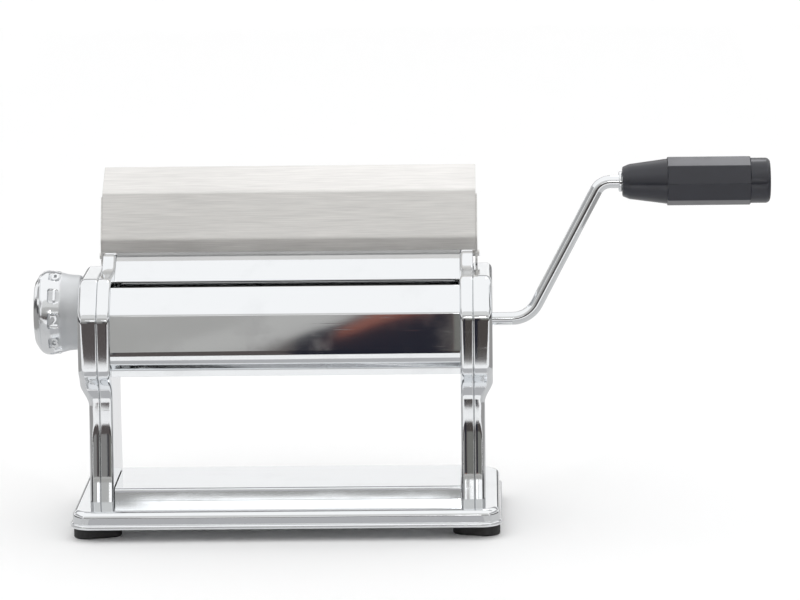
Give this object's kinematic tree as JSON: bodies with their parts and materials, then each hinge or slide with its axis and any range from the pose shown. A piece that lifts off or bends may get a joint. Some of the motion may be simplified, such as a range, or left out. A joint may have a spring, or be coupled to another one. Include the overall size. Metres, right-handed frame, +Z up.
{
  "type": "pasta machine",
  "caption": "Hand cranked pasta sheeting machine: rollers in a chrome body on legs and a base plate, with a thickness knob, a crank with a grip and a dough guide.",
  "frame": {"origin": "on the table, under the middle of the machine's overall box", "axes": "+X along the rollers towards the crank, +Y from the front to the back, +Z up"},
  "size_m": [0.3357, 0.104, 0.1675],
  "materials": {
    "base_chrome": "chrome plated pressed steel",
    "foot_rubber": "black moulded rubber",
    "side_chrome": "chrome plated pressed steel",
    "cover_chrome": "chrome plated folded sheet",
    "plain_steel": "bright zinc plated",
    "fastener_steel": "bright zinc plated",
    "scraper_steel": "thin spring steel",
    "bush_nylon": "natural nylon",
    "roller_steel": "nickel plated, fine turned",
    "gear_steel": "sintered, lightly oiled",
    "rod_chrome": "chrome plated rod",
    "grip_plastic": "black satin moulding",
    "knob_chrome": "chrome plated die casting",
    "guide_steel": "lengthwise brushed stainless"
  },
  "bodies": {
    "frame": {"base_plate": "base_chrome", "base_bridge": "base_chrome", "foot_front_left": "foot_rubber", "foot_rear_left": "foot_rubber", "foot_front_right": "foot_rubber", "foot_rear_right": "foot_rubber", "left_side_plate": "side_chrome", "right_side_plate": "side_chrome", "left_side_cover": "side_chrome", "right_side_cover": "side_chrome", "left_nut_bar": "plain_steel", "right_nut_bar": "plain_steel", "base_screws": "fastener_steel", "front_cover": "cover_chrome", "rear_cover": "cover_chrome", "front_scraper": "scraper_steel", "rear_scraper": "scraper_steel", "front_tie_rod": "plain_steel", "rear_tie_rod": "plain_steel", "top_tie_rod": "plain_steel", "left_tie_rod_nuts": "fastener_steel", "right_tie_rod_nuts": "fastener_steel", "left_front_bush": "bush_nylon", "right_front_bush": "bush_nylon", "left_shaft_bush": "bush_nylon", "right_shaft_bush": "bush_nylon", "index_pin": "plain_steel"},
    "crank_drive": {"front_roller": "roller_steel", "front_gear": "gear_steel", "front_roller_clip": "fastener_steel"},
    "crank": {"crank_rod": "rod_chrome", "grip_collar": "rod_chrome", "grip_clip": "fastener_steel"},
    "grip": {"grip": "grip_plastic", "grip_cap": "grip_plastic"},
    "knob_drive": {"adjust_shaft": "plain_steel", "left_cam": "plain_steel", "right_cam": "plain_steel", "knob_screw": "fastener_steel", "knob_spring": "fastener_steel"},
    "knob": {"knob": "knob_chrome", "knob_face": "knob_chrome"},
    "rear_carriage": {"left_bearing_block": "plain_steel", "right_bearing_block": "plain_steel", "left_yoke_pins": "plain_steel", "right_yoke_pins": "plain_steel", "left_yoke_plate": "plain_steel", "right_yoke_plate": "plain_steel"},
    "rear_roller": {"rear_roller": "roller_steel", "rear_gear": "gear_steel", "rear_roller_clip": "fastener_steel"},
    "guide": {"dough_guide": "guide_steel", "left_guide_bracket": "guide_steel", "right_guide_bracket": "guide_steel"}
  },
  "joints": [
    {"name": "crank_turn", "type": "hinge", "parent": "frame", "child": "crank_drive", "pos_m": [-0.05145, -0.01415, 0.0944], "axis": [1, 0, 0], "continuous": true},
    {"name": "crank_pull", "type": "slide", "parent": "crank_drive", "child": "crank", "axis": [1, 0, 0], "range_m": [0, 0.017]},
    {"name": "grip_spin", "type": "hinge", "parent": "crank", "child": "grip", "pos_m": [0.13655, -0.01415, 0.1565], "axis": [1, 0, 0], "continuous": true},
    {"name": "knob_turn", "type": "hinge", "parent": "frame", "child": "knob_drive", "pos_m": [-0.15145, 0.01415, 0.0944], "axis": [-1, 0, 0], "range_deg": [0, 324]},
    {"name": "knob_pull", "type": "slide", "parent": "knob_drive", "child": "knob", "axis": [-1, 0, 0], "range_m": [0, 0.004], "stiffness_N_per_m": 800, "deforming": ["knob_spring"]},
    {"name": "roller_gap", "type": "slide", "parent": "frame", "child": "rear_carriage", "axis": [0, -1, 0], "range_m": [0, 0.0027]},
    {"name": "rear_roller_turn", "type": "hinge", "parent": "rear_carriage", "child": "rear_roller", "pos_m": [-0.05145, 0.01415, 0.0944], "axis": [1, 0, 0], "continuous": true},
    {"name": "guide_lift", "type": "slide", "parent": "frame", "child": "guide", "axis": [0, 0, 1], "range_m": [0, 0.04]}
  ],
  "couplings": [
    {"joint": "knob_turn", "follows": "roller_gap", "rad_per_m": 2094.4},
    {"joint": "rear_roller_turn", "follows": "crank_turn", "ratio": -1}
  ]
}
